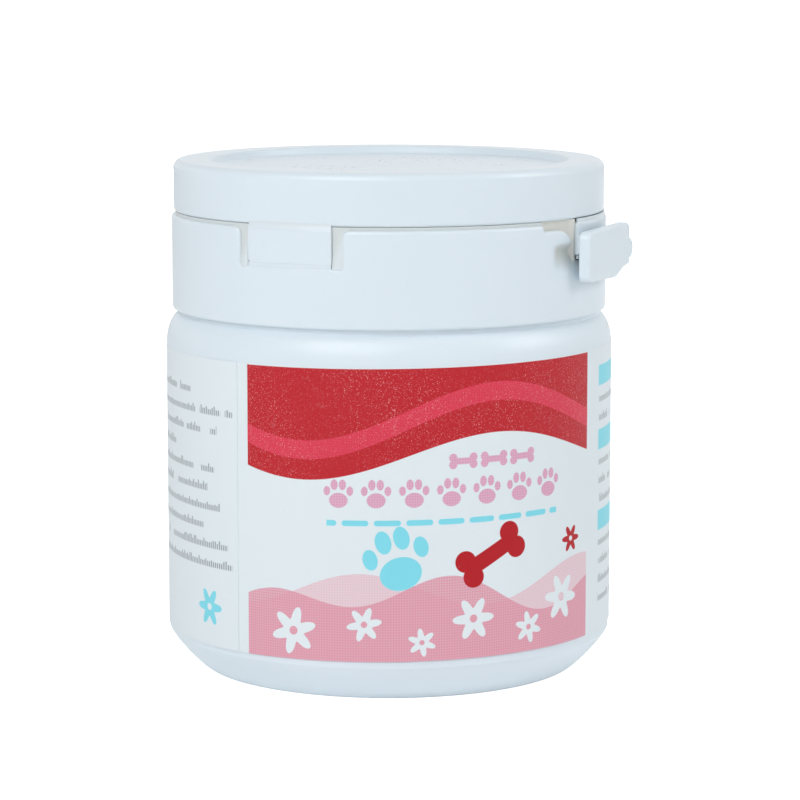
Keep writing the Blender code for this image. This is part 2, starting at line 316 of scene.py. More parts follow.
def mesh_of(name, verts, faces):
    """A mesh welded and facing outwards, smooth but for its sharp edges."""
    bm = bmesh.new()
    made = [bm.verts.new(v) for v in verts]
    for face in faces:
        bm.faces.new([made[i] for i in face])
    bmesh.ops.remove_doubles(bm, verts=bm.verts, dist=WELD)
    bmesh.ops.recalc_face_normals(bm, faces=bm.faces)
    mesh = bpy.data.meshes.new(name)
    bm.to_mesh(mesh)
    bm.free()
    mesh.shade_smooth()
    mesh.set_sharp_from_angle(angle=SHARP)
    return mesh


def lathe(name, profile, ripple=None):
    """A turned mesh of (radius, height) points. ripple(angle, radius, height) moves a point up."""
    rows = []
    verts = []
    for radius, height in profile:
        count = SEGMENTS if radius > WELD else 1
        rows.append(range(len(verts), len(verts) + count))
        for k in range(count):
            angle = math.tau * k / SEGMENTS
            rise = ripple(angle, radius, height) if ripple else 0.0
            verts.append(around(angle, radius, height + rise))
    faces = []
    for upper, lower in zip(rows, rows[1:]):
        for k in range(SEGMENTS):
            top = [upper[k % len(upper)], upper[(k + 1) % len(upper)]]
            foot = [lower[(k + 1) % len(lower)], lower[k % len(lower)]]
            faces.append(list(dict.fromkeys(top + foot)))
    return mesh_of(name, verts, faces)


def on_seam(point, seam):
    """Whether a point is where the two ends of an unrolled ring meet."""
    return seam is not None and abs(abs(point.x) - seam) < WELD


def outward(outline, seam):
    """The outward direction at each point of an anticlockwise outline, which on the seam is up or down."""
    normals = []
    for i, here in enumerate(outline):
        back = (here - outline[i - 1]).normalized()
        on = (outline[(i + 1) % len(outline)] - here).normalized()
        along = back + on
        out = Vector((along.y, -along.x)).normalized()
        if on_seam(here, seam):
            at_end = abs(back.x) > 0.5 or abs(on.x) > 0.5
            out = Vector((0.0, math.copysign(1.0, out.y) if at_end else 0.0))
        normals.append(out)
    return normals


def fill(loop, spacing):
    """Points and triangles that fill a flat loop. The loop's own points come first."""
    edge = np.array([p[:] for p in loop])
    low, high = edge.min(axis=0), edge.max(axis=0)
    columns = np.arange(low[0] + spacing / 2, high[0], spacing)
    rows = np.arange(low[1] + spacing / 2, high[1], spacing)
    grid = np.stack(np.meshgrid(columns, rows), axis=-1).reshape(-1, 2)
    inside = np.zeros(len(grid), dtype=bool)
    nearest = np.full(len(grid), np.inf)
    for a, b in zip(edge, np.roll(edge, -1, axis=0)):
        nearest = np.minimum(nearest, np.hypot(*(grid - a).T))
        if a[1] != b[1]:
            reach = a[0] + (grid[:, 1] - a[1]) * (b[0] - a[0]) / (b[1] - a[1])
            inside ^= ((a[1] > grid[:, 1]) != (b[1] > grid[:, 1])) & (grid[:, 0] < reach)
    points = list(loop) + [Vector(p) for p in grid[inside & (nearest > CLEAR_SHARE * spacing)]]
    made, _, triangles, sources, _, _ = delaunay_2d_cdt(points, [], [list(range(len(loop)))], 1, WELD / 100)
    index = []
    for point, source in zip(made, sources):
        index.append(source[0] if source else len(points))
        if not source:
            points.append(point)
    return points, [[index[i] for i in triangle] for triangle in triangles]


def panel(name, corners, thickness, edge, wrap, seam=None, spacing=GRID, back=BACK_EDGE):
    """A plate of this flat outline, bent to its place by wrap(across, up, depth).

    Its outer edge is rounded by edge(point) and its inner edge bevelled by back. At the seam it meets itself.
    """
    outline = spread(soften(corners), spacing)
    normals = outward(outline, seam)
    radii = [edge(p) for p in outline]
    loops = []
    for step in range(EDGE_STEPS + 1):
        angle = math.pi / 2 * step / EDGE_STEPS
        inset, depth = 1 - math.sin(angle), 1 - math.cos(angle)
        loops.append([(p - n * r * inset, r * depth) for p, n, r in zip(outline, normals, radii)])
    loops.append([(p, thickness - back) for p in outline])
    loops.append([(p - n * back, thickness) for p, n in zip(outline, normals)])
    verts = [wrap(p.x, p.y, depth) for loop in loops for p, depth in loop]
    count = len(outline)
    faces = []
    for level in range(len(loops) - 1):
        for i in range(count):
            j = (i + 1) % count
            if on_seam(outline[i], seam) and on_seam(outline[j], seam):
                continue
            upper, lower = level * count, (level + 1) * count
            faces.append([upper + i, upper + j, lower + j, lower + i])
    for level, depth in ((0, 0.0), (len(loops) - 1, thickness)):
        points, triangles = fill([p for p, _ in loops[level]], spacing)
        index = list(range(level * count, (level + 1) * count))
        for p in points[count:]:
            index.append(len(verts))
            verts.append(wrap(p.x, p.y, depth))
        faces += [[index[i] for i in triangle] for triangle in triangles]
    return mesh_of(name, verts, faces)


def rectangle(left, right, low, high, corner):
    """A rectangle's corners for a panel, all rounded alike."""
    return [(left, low, corner), (right, low, corner), (right, high, corner), (left, high, corner)]


def sheet(name, corners, thickness, wrap, spacing=FILM_GRID):
    """A thin panel with crisp edges."""
    return panel(name, corners, thickness, lambda point: FILM_EDGE, wrap, spacing=spacing, back=FILM_EDGE)


def piece(name, mesh, finish, body=None, replaces=()):
    """A piece of the object, with its finish, the body that it rides on and the nodes that it stands for."""
    obj = bpy.data.objects.new(name, mesh)
    scene.collection.objects.link(obj)
    mesh.materials.append(finish)
    even = obj.modifiers.new("even_shading", "WEIGHTED_NORMAL")
    even.keep_sharp = True
    if body:
        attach(obj, body)
    if replaces:
        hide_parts(*replaces)
    return obj


# Jar, label and powder


def jar_shell():
    """From the middle of the floor inside, up the wall, over the neck and down the outside to the base."""
    seat = BODY_RADIUS - LABEL_THICKNESS
    inner = seat - WALL
    neck = CAP_RADIUS - CAP_WALL - NECK_CLEARANCE
    band = CAP_RADIUS - CAP_WALL - NECK_BAND_CLEARANCE
    band_foot = WINDOW_BOTTOM - NECK_BAND_DROP
    bore = neck - NECK_WALL
    under_shoulder = SHOULDER_HEIGHT - WALL
    bead = SHOULDER_HEIGHT + NECK_BEAD_RISE
    stop_ring = CAP_RADIUS - STOP_RING_INSET
    stop_top = COLLAR_BOTTOM - FOOT_DROP - LIP_GAP
    profile = soften(
        [
            (0.0, FLOOR, 0),
            (inner, FLOOR, INNER_HEEL),
            (inner, under_shoulder - (inner - bore), INNER_BEND),
            (bore, under_shoulder, INNER_BEND),
            (bore, RIM_HEIGHT, RIM_EDGE),
            (band, RIM_HEIGHT, NECK_BAND_EDGE),
            (band, band_foot, NECK_BAND_EDGE),
            (neck, band_foot - (band - neck), NECK_EDGE),
            (neck, bead + NECK_BEAD_HEIGHT, NECK_EDGE),
            (neck + NECK_BEAD_DEPTH, bead + NECK_BEAD_HEIGHT / 2, NECK_BEAD_EDGE),
            (neck, bead, NECK_EDGE),
            (neck, stop_top, STOP_RING_ROOT),
            (stop_ring, stop_top, STOP_RING_EDGE),
            (stop_ring, SHOULDER_HEIGHT, 0),
        ]
    )
    shoulder = (BODY_RADIUS - SHOULDER_WIDTH, SHOULDER_HEIGHT - SHOULDER_DROP)
    curve = quarter(shoulder, (SHOULDER_WIDTH, SHOULDER_DROP), SHOULDER_STEPS)
    profile += [p for p in reversed(curve) if p.x > stop_ring]
    ledge = LABEL_TOP - LABEL_LAP
    profile += [Vector((BODY_RADIUS, ledge)), Vector((seat, ledge))]
    power = 2 / HEEL_FULLNESS
    for k in range(HEEL_STEPS + 1):
        angle = math.pi / 2 * k / HEEL_STEPS
        radius = seat - HEEL_WIDTH + HEEL_WIDTH * abs(math.cos(angle)) ** power
        profile.append(Vector((radius, HEEL_HEIGHT - HEEL_HEIGHT * math.sin(angle) ** power)))
    profile.append(Vector((0.0, 0.0)))
    return lathe("jar_shell", profile)


def label_sheet():
    """One sheet wrapped round the wall. Its end laps over its start and lies clear of it there."""
    columns = SEGMENTS + LABEL_LAP_COLUMNS
    turn = math.tau + LABEL_OVERLAP
    verts = []
    for depth in (0.0, LABEL_THICKNESS):
        for row in range(LABEL_ROWS + 1):
            height = LABEL_BOTTOM + (LABEL_TOP - LABEL_BOTTOM) * row / LABEL_ROWS
            for column in range(columns + 1):
                angle = turn * column / columns
                lift = LABEL_LIFT * smooth(math.tau - LABEL_OVERLAP, math.tau, angle)
                tuck = LABEL_LIFT * (1 - smooth(0, LABEL_OVERLAP, angle))
                radius = BODY_RADIUS + LABEL_PROUD - depth + lift - tuck
                place = LABEL_SEAM_ANGLE - LABEL_OVERLAP + angle
                verts.append(around(place, radius, height + LABEL_RISE + LABEL_TILT * math.sin(place)))
    width = columns + 1
    side = width * (LABEL_ROWS + 1)
    faces = []
    for row in range(LABEL_ROWS):
        for column in range(columns):
            a = row * width + column
            front = [a, a + 1, a + width + 1, a + width]
            faces += [front, [side + i for i in reversed(front)]]
    for column in range(columns):
        for a, b in ((column, column + 1), (side - width + column + 1, side - width + column)):
            faces.append([a, side + a, side + b, b])
    for row in range(LABEL_ROWS):
        start = row * width
        for a, b in ((start + width, start), (start + columns, start + width + columns)):
            faces.append([a, side + a, side + b, b])
    return mesh_of("printed_label", verts, faces)


def powder_ripple(angle, radius, height):
    """The heap, lumps and grain of the powder's top. Its sides and foot stay as they are."""
    if height < POWDER_TOP - WELD:
        return 0.0
    share = radius / POWDER_RADIUS
    spot = around(angle, radius, 0.0) / MM
    lumps = noise.noise(spot * LUMPS_PER_MM) * LUMP_HEIGHT
    lumps += noise.noise(spot * SMALL_LUMPS_PER_MM) * LUMP_HEIGHT * SMALL_LUMP_SHARE
    grain = noise.noise(spot * GRAINS_PER_MM) * GRAIN_HEIGHT
    return (HEAP_HEIGHT * (1 - share * share) + lumps + grain) * (1 - share ** HEAP_EDGE_POWER)


def powder_heap():
    """A heap with a rippled top, rounded at its foot as the jar is inside."""
    top = [(POWDER_RADIUS * k / POWDER_RINGS, POWDER_TOP) for k in range(POWDER_RINGS + 1)]
    heel = (POWDER_RADIUS - INNER_HEEL, POWDER_BOTTOM + INNER_HEEL)
    low = quarter(heel, (INNER_HEEL, INNER_HEEL), CORNER_STEPS, -math.pi / 2)
    profile = [*top, *[tuple(p) for p in reversed(low)], (0.0, POWDER_BOTTOM)]
    return lathe("powder_heap", profile, ripple=powder_ripple)


# Cap


def on_cap(across, up, depth):
    """A point on the cap's round face, at a distance round it from the hinge."""
    return around(HINGE_ANGLE + across / CAP_RADIUS, CAP_RADIUS - depth, up)


def lid_shell():
    """From the middle of the sunken panel over the rim, down the skirt and back along the seal and plug."""
    radius = CAP_RADIUS - LID_INSET
    panel_top = LID_TOP - PANEL_DROP
    panel_edge = radius - PANEL_RIM
    under = panel_top - PANEL_THICKNESS
    plug = CAP_RADIUS - CAP_WALL - NECK_CLEARANCE - NECK_WALL - PLUG_CLEARANCE
    seal = radius - LID_WALL
    seal_foot = RIM_HEIGHT + SEAL_GAP
    profile = soften(
        [
            (0.0, panel_top, 0),
            (panel_edge, panel_top, PANEL_EDGE),
            (panel_edge + PANEL_SLOPE, LID_TOP, PANEL_EDGE),
            (radius, LID_TOP, LID_EDGE),
            (radius, LID_BOTTOM, CAP_EDGE),
            (seal, LID_BOTTOM, 0),
            (seal, seal_foot, SEAL_EDGE),
            (seal - SEAL_WIDTH, seal_foot, SEAL_EDGE),
            (seal - SEAL_WIDTH, under, SKIRT_ROOT),
            (plug, under, PLUG_ROOT),
            (plug, PLUG_BOTTOM + PLUG_LEAD_HEIGHT, PLUG_BEND),
            (plug - PLUG_LEAD, PLUG_BOTTOM, PLUG_EDGE),
            (plug - PLUG_WALL, PLUG_BOTTOM, PLUG_EDGE),
            (plug - PLUG_WALL, under, PLUG_ROOT),
            (0.0, under, 0),
        ]
    )
    return lathe("lid_shell", profile)


def collar_corners():
    """The collar unrolled: its foot, the strip's window, the step before it and the strap's window."""
    half = math.pi * CAP_RADIUS
    mouth = STRAP_WIDTH / 2 + NOTCH_WIDTH
    strip = STRIP_NEAR - SEAT_GAP
    level = COLLAR_TOP - STEP_DEPTH
    run = strip - STEP_NEAR - STEP_LEVEL
    curve = quarter((STEP_NEAR + STEP_LEVEL, WINDOW_BOTTOM), (run, level - WINDOW_BOTTOM), CORNER_STEPS * 2)
    foot = COLLAR_BOTTOM - FOOT_DROP
    return [
        (-half, foot, 0),
        (half, foot, 0),
        (half, WINDOW_BOTTOM, 0),
        *[(p.x, p.y, 0) for p in curve],
        (STEP_NEAR, level, STEP_FOOT),
        (STEP_NEAR, COLLAR_TOP, STEP_CORNER),
        (mouth, COLLAR_TOP, NOTCH_CORNER),
        (mouth, WINDOW_BOTTOM, NOTCH_FOOT),
        (-mouth, WINDOW_BOTTOM, NOTCH_FOOT),
        (-mouth, COLLAR_TOP, NOTCH_CORNER),
        (-strip, COLLAR_TOP, WINDOW_CORNER),
        (-strip, WINDOW_BOTTOM, WINDOW_CORNER),
        (-half, WINDOW_BOTTOM, 0),
    ]


def collar_edge(point):
    """Soft round the top and tight at the foot, and crisp under the strap, where the crease runs."""
    if point.y < COLLAR_BOTTOM:
        return FOOT_EDGE
    share = smooth(STRAP_WIDTH / 2 - CREASE_END, STRAP_WIDTH / 2 + NOTCH_WIDTH / 2, abs(point.x))
    return CREASE_EDGE + (CAP_EDGE - CREASE_EDGE) * share


def on_collar(across, up, depth):
    """The cap's round face, hollowed behind the tab for a finger, steep at the top and running out below."""
    side = STEP_NEAR + HOLLOW_LEAD
    end = STRIP_NEAR + TAB_LENGTH
    top = COLLAR_TOP - HOLLOW_TOP
    hollow = smooth(side - HOLLOW_WALL, side + HOLLOW_WALL, across)
    hollow *= 1 - smooth(end - TAB_LENGTH / 2, end, across)
    hollow *= 1 - smooth(top - HOLLOW_WALL, top, up)
    hollow *= smooth(COLLAR_TOP - HOLLOW_FOOT, top - HOLLOW_WALL, up)
    return on_cap(across, up, depth + HOLLOW_DEPTH * hollow * (1 - depth / CAP_WALL))


def collar_ring():
    """The cap's fixed ring, closed at the back."""
    seam = math.pi * CAP_RADIUS
    return panel("collar_ring", collar_corners(), CAP_WALL, collar_edge, on_collar, seam, FINE_GRID)


def strap_band():
    """The short band between the two creases."""
    half = STRAP_WIDTH / 2
    corners = rectangle(-half, half, BAND_BOTTOM, COLLAR_TOP, STRAP_CORNER)
    return panel("strap_band", corners, CAP_WALL, lambda point: CREASE_EDGE, on_cap, spacing=FINE_GRID)


def on_strip(across, up, depth):
    """The cap's round face, with the strip thinner at its start."""
    thin = STRIP_THIN + (1 - STRIP_THIN) * smooth(STRIP_NEAR, STRIP_NEAR + STRIP_TAPER, across)
    return on_cap(across, up, depth * thin)


def strip_band():
    """The half ring that is torn off."""
    corners = rectangle(STRIP_NEAR, STRIP_FAR, BAND_BOTTOM, COLLAR_TOP, STRIP_CORNER)
    return panel("strip_band", corners, STRIP_WALL, lambda point: CAP_EDGE, on_strip)


def on_tab(across, up, depth):
    """A point on the tab's flat outer face."""
    along = Vector((math.cos(TAB_ANGLE), math.sin(TAB_ANGLE), 0.0))
    return around(TAB_ANGLE, CAP_RADIUS + SEAT_GAP + TAB_THICKNESS - depth, up) + along * across


def tab_plate():
    """A flat plate that stands off the cap, with a nub on its far end."""
    near = -TAB_LEAD
    far = near + TAB_LENGTH
    middle = (TAB_BOTTOM + TAB_TOP) / 2
    nub = quarter((far, middle), (NUB_REACH, NUB_RADIUS), CORNER_STEPS, -math.pi / 2)
    nub += quarter((far, middle), (NUB_REACH, NUB_RADIUS), CORNER_STEPS)[1:]
    low = TAB_BOTTOM - TAB_FLARE
    corners = [
        (near, TAB_BOTTOM, TAB_CORNER),
        (far - TAB_HEEL_LENGTH, low, TAB_HEEL_CORNER),
        (far - TAB_TOE_LENGTH, low + TAB_TOE_RISE, TAB_TOE_CORNER),
        (far, low + TAB_END_RISE, TAB_END_CORNER),
        *[(p.x, p.y, 0) for p in nub],
        (far, TAB_TOP + TAB_FLARE, TAB_CORNER),
        (near, TAB_TOP, TAB_CORNER),
    ]
    return panel("tab_plate", corners, TAB_THICKNESS, lambda point: CAP_EDGE, on_tab, spacing=FINE_GRID)


def film(name, low, high, lean):
    """The thin web across a crease, from one height to another, set in by lean(up)."""
    half = STRAP_WIDTH / 2 - FILM_DEPTH

    def on_film(across, up, depth):
        return on_cap(across, up, depth + lean(up))

    return sheet(name, rectangle(-half, half, low, high, FILM_DEPTH), FILM_THICKNESS, on_film)


def lip(name, inset, thickness, start, end, low, high, climb=0.0):
    """A narrow ring behind a gap of the cap, set back from its face. Its end may climb towards the face."""

    def on_lip(across, up, depth):
        return on_cap(across, up, depth + inset - climb * smooth(end - LIP_CLIMB_LENGTH, end, across))

    return sheet(name, rectangle(start, end, low, high, LIP_CORNER), thickness, on_lip, FINE_GRID)


def notch_ramp(name, left, start, end):
    """A notch's floor: deep at the top and on the left, and rising to the face at the notch's lower right."""
    corners = rectangle(start, end, WINDOW_BOTTOM - FILM_LAP, LID_BOTTOM - LIP_GAP, LIP_CORNER)

    def on_ramp(across, up, depth):
        share = min(max((across - left) / NOTCH_WIDTH, 0.0), 1.0)
        climb = (up - WINDOW_BOTTOM) / RAMP_HEIGHT - RAMP_SLANT * share + RAMP_SLANT / 2
        return on_cap(across, up, depth + RAMP_SHALLOW + (RAMP_DEPTH - RAMP_SHALLOW) * smooth(0, 1, climb))

    return sheet(name, corners, RAMP_THICKNESS, on_ramp)


def root_film():
    """The last web of the strip, which holds its far end to the collar."""
    start, stop = STRIP_FAR - FILM_LAP, STRIP_FAR + SEAT_GAP + FILM_LAP
    corners = rectangle(start, stop, BAND_BOTTOM + CAP_EDGE, COLLAR_TOP - CAP_EDGE, LIP_CORNER)

    def on_film(across, up, depth):
        return on_cap(across, up, depth + FILM_DEPTH)

    return sheet("root_film", corners, FILM_THICKNESS, on_film)


def tab_web():
    """The web at the tab's near end, from the strip's face out to the tab."""
    near = WEB_INSET - TAB_LEAD
    corners = rectangle(near, near + WEB_WIDTH, BAND_BOTTOM + WEB_FOOT, TAB_TOP - WEB_DROP, BACK_EDGE)

    def on_web(across, up, depth):
        return on_tab(across, up, TAB_THICKNESS - WEB_LAP + depth)

    return sheet("tab_web", corners, WEB_REACH, on_web)


# Paint: node materials written as arithmetic


class Field:
    """A number that varies over a surface. Arithmetic on it becomes Math nodes."""

    def __init__(self, paint, socket):
        self.paint = paint
        self.socket = socket

    def __add__(self, other):
        return self.paint.math("ADD", self, other)

    def __sub__(self, other):
        return self.paint.math("SUBTRACT", self, other)

    def __rsub__(self, other):
        return self.paint.math("SUBTRACT", other, self)

    def __mul__(self, other):
        return self.paint.math("MULTIPLY", self, other)

    def __truediv__(self, other):
        return self.paint.math("DIVIDE", self, other)


class Paint:
    """A Principled material under construction. Its x, y and z are the place on the piece, in metres."""

    def __init__(self, name, roughness):
        self.material = bpy.data.materials.new(name)
        self.material.use_nodes = True
        self.nodes = self.material.node_tree.nodes
        self.links = self.material.node_tree.links
        self.shader = self.nodes["Principled BSDF"]
        self.shader.inputs["Roughness"].default_value = roughness
        self.place = self.nodes.new("ShaderNodeTexCoord").outputs["Object"]
        split = self.nodes.new("ShaderNodeSeparateXYZ")
        self.links.new(self.place, split.inputs[0])
        self.x, self.y, self.z = (Field(self, socket) for socket in split.outputs)

    def feed(self, socket, value):
        if isinstance(value, Field):
            self.links.new(value.socket, socket)
        else:
            socket.default_value = value

    def set(self, name, value):
        self.feed(self.shader.inputs[name], value)

    def math(self, operation, *values, clamp=False):
        node = self.nodes.new("ShaderNodeMath")
        node.operation = operation
        node.use_clamp = clamp
        for socket, value in zip(node.inputs, values):
            self.feed(socket, value)
        return Field(self, node.outputs[0])

    def largest(self, first, *others):
        for other in others:
            first = self.math("MAXIMUM", first, other)
        return first

    def length(self, x, y):
        return self.math("SQRT", x * x + y * y)

    def above(self, value, soft):
        """1 where the value is over zero, 0 where it is under, with an edge this soft."""
        return self.math("MULTIPLY_ADD", value, 1 / soft, 0.5, clamp=True)

    def vector(self, x, y):
        node = self.nodes.new("ShaderNodeCombineXYZ")
        for socket, value in zip(node.inputs, (x, y)):
            self.feed(socket, value)
        return node.outputs[0]

    def noise(self, size, detail=2.0, at=None):
        """Smooth noise from 0 to 1, with features of about this size."""
        node = self.nodes.new("ShaderNodeTexNoise")
        node.inputs["Scale"].default_value = 1 / size
        node.inputs["Detail"].default_value = detail
        self.links.new(at or self.place, node.inputs["Vector"])
        return Field(self, node.outputs["Fac"])

    def chance(self, seed):
        """A steady random number from 0 to 1 for each value of the seed."""
        node = self.nodes.new("ShaderNodeTexWhiteNoise")
        node.noise_dimensions = "1D"
        self.feed(node.inputs["W"], seed)
        return Field(self, node.outputs["Value"])

    def mix(self, share, first, second):
        """A colour between two others."""
        node = self.nodes.new("ShaderNodeMix")
        node.data_type = "RGBA"
        self.feed(node.inputs["Factor"], share)
        for socket, value in ((node.inputs[6], first), (node.inputs[7], second)):
            self.feed(socket, value)
        return Field(self, node.outputs[2])

    def bump(self, height, distance):
        """Raises the surface where the height is 1 by this distance."""
        node = self.nodes.new("ShaderNodeBump")
        node.inputs["Distance"].default_value = distance
        node.inputs["Strength"].default_value = 1.0
        self.feed(node.inputs["Height"], height)
        self.links.new(node.outputs["Normal"], self.shader.inputs["Normal"])


def colour(red, green, blue):
    """A colour from its values on the usual 0 to 255 scale."""
    linear = []
    for value in (red, green, blue):
        share = value / 255
        linear.append(share / 12.92 if share <= 0.04045 else ((share + 0.055) / 1.055) ** 2.4)
    return (*linear, 1.0)


# Label print: a plain pattern of waves, paws, bones and daisies, in millimetres across and up the label

PRINT_CENTRE = math.radians(11.5)
PRINT_HALF_WIDTH = 17.8
PRINT_TOP = 26.45
INK_SOFTNESS = 0.06
STROKE_PITCH = 0.3
SHORT_LINE = 13.0
HALFTONE_TURN = 13.0
TEXT_PITCH = 1.76
TEXT_BASELINE = 0.7
WORD_GAPS = 0.34
STROKE_HEIGHT = 0.5
TALL_EXTRA = 0.3
SHORT_STROKES = 0.8
TEXT_BLOCKS = (
    (-52.0, -19.6, 6.4, 24.4, 3.0),
    (20.6, 46.0, 2.2, 9.2, 11.0),
    (20.6, 46.0, 11.6, 16.8, 23.0),
    (20.6, 46.0, 19.2, 22.7, 31.0),
)
TAG_LEFT = 20.5
TAG_RIGHT = 33.0
TAG_HEIGHT = 1.9
TAG_FEET = (9.4, 17.0, 23.0)
WAVE_LENGTH = 36.0
WAVE_LEAD = 3.0
WAVE_HEIGHT = 2.0
RED_FOOT = 18.4
RIBBON_LEVEL = 21.6
RIBBON_SWING = 1.25
RIBBON_HALF = 0.85
HILL_SWELLS = ((0.36, 0.9, 1.3), (0.17, 2.0, 1.0))
HILL_LEVEL = 5.6
FAR_SWELL = (0.27, 3.4, 1.6)
FAR_LEVEL = 6.4
PAW_ROW = (-10.4, 13.4, 12.0, 18.0)
BONE_ROW = (1.1, 10.1, 16.0, 20.0)
DASH_ROW = (-9.8, 12.8, 12.0, 13.2)
DAISIES = (
    (-13.0, 2.6, 4.4),
    (-6.4, 3.4, 3.2),
    (-1.2, 1.7, 2.6),
    (3.6, 3.6, 4.0),
    (9.4, 2.2, 3.0),
    (13.6, 4.4, 4.4),
)
TOES = (
    (-0.42, 0.12, 0.12, 0.17),
    (-0.15, 0.34, 0.13, 0.19),
    (0.15, 0.34, 0.13, 0.19),
    (0.42, 0.12, 0.12, 0.17),
)
LABEL_WHITE = colour(224, 234, 239)
LABEL_SHADE = colour(219, 230, 236)
LABEL_SCUFF = colour(196, 204, 206)
DEEP_RED = colour(178, 14, 28)
GRAIN_RED = colour(194, 38, 48)
BRIGHT_RED = colour(208, 40, 66)
GRAIN_BRIGHT = colour(224, 76, 98)
SPECK_WHITE = colour(224, 146, 152)
PINK = colour(220, 150, 168)
PALE_PINK = colour(228, 190, 200)
ROSE = colour(216, 150, 182)
TURQUOISE = colour(128, 218, 234)
PRINT_GREY = colour(128, 136, 142)


class LabelPrint:
    """Shapes on the unrolled label, as fields that are over zero inside the shape, in millimetres."""

    def __init__(self, paint):
        self.paint = paint
        angle = paint.math("ARCTAN2", paint.x, paint.y * -1) - PRINT_CENTRE
        self.u = paint.math("WRAP", angle, math.pi, -math.pi) * (BODY_RADIUS / MM)
        tilt = paint.x * (LABEL_TILT / BODY_RADIUS)
        self.v = (paint.z - tilt - (LABEL_BOTTOM + LABEL_RISE)) * (1 / MM)

    def shifted(self, u, v, tilt=0.0, pitch=None):
        """Places counted from a point, turned by a tilt. With a pitch, they repeat across."""
        paint = self.paint
        across, up = self.u - u, self.v - v
        if pitch:
            across = paint.math("WRAP", across, pitch / 2, -pitch / 2)
        if not tilt:
            return across, up
        cos, sin = math.cos(tilt), math.sin(tilt)
        return across * cos + up * sin, up * cos - across * sin

    def box(self, left, right, bottom, top):
        paint = self.paint
        across = paint.math("ABSOLUTE", self.u - (left + right) / 2)
        up = paint.math("ABSOLUTE", self.v - (bottom + top) / 2)
        return paint.math("MINIMUM", (right - left) / 2 - across, (top - bottom) / 2 - up)

    def oval(self, place, u, v, wide, high):
        across, up = place
        return (1 - self.paint.length((across - u) / wide, (up - v) / high)) * min(wide, high)

    def pill(self, place, half, radius):
        across, up = place
        past = self.paint.math("MAXIMUM", self.paint.math("ABSOLUTE", across) - half, 0.0)
        return radius - self.paint.length(past, up)

    def paw(self, place, size):
        """A pad and four toes."""
        pad = self.oval(place, 0, -0.22 * size, 0.34 * size, 0.27 * size)
        ovals = [self.oval(place, *[share * size for share in toe]) for toe in TOES]
        return self.paint.largest(pad, *ovals)

    def bone(self, place, size):
        """A bar with two round knobs on each end."""
        across, up = place
        folded = (self.paint.math("ABSOLUTE", across), self.paint.math("ABSOLUTE", up))
        knob = self.oval(folded, 0.4 * size, 0.13 * size, 0.16 * size, 0.16 * size)
        return self.paint.largest(self.pill(place, 0.34 * size, 0.12 * size), knob)

    def daisy(self, place, size, petals=6):
        """Round petals about a small open eye."""
        paint = self.paint
        across, up = place
        reach = paint.length(across, up)
        wave = paint.math("COSINE", paint.math("ARCTAN2", up, across) * petals)
        petal = size * 0.5 * 0.74 - reach + wave * (size * 0.13)
        return paint.math("MINIMUM", petal, reach - size * 0.09)

    def lines(self, left, right, bottom, top, seed):
        """Rows of small print too fine to be read: rows of short strokes on a line, broken into words."""
        paint = self.paint
        row = (top - self.v) / TEXT_PITCH
        index = paint.math("FLOOR", row)
        rise = (TEXT_BASELINE - paint.math("FRACT", row)) * TEXT_PITCH
        short = paint.chance(index + seed)
        end = right - short * short * short * SHORT_LINE
        spot = paint.vector(self.u * 0.5, index * 7.3 + seed)
        words = paint.above(paint.noise(1.0, 0.0, spot) - WORD_GAPS, 0.05)
        stroke = paint.math("FLOOR", self.u / STROKE_PITCH)
        tall = paint.above(paint.chance(stroke * 0.37 + index * 5.1) - SHORT_STROKES, 0.2)
        across = paint.math("ABSOLUTE", paint.math("FRACT", self.u / STROKE_PITCH) - 0.5)
        strokes = paint.above(0.25 - across, 0.2) * 0.85 + 0.15
        bars = paint.above(tall * TALL_EXTRA + STROKE_HEIGHT - rise, 0.1)
        bars = bars * paint.above(rise, 0.1) * words * strokes
        inside = paint.above(self.box(left, right, bottom, top), 0.1) * paint.above(end - self.u, 0.1)
        return bars * inside


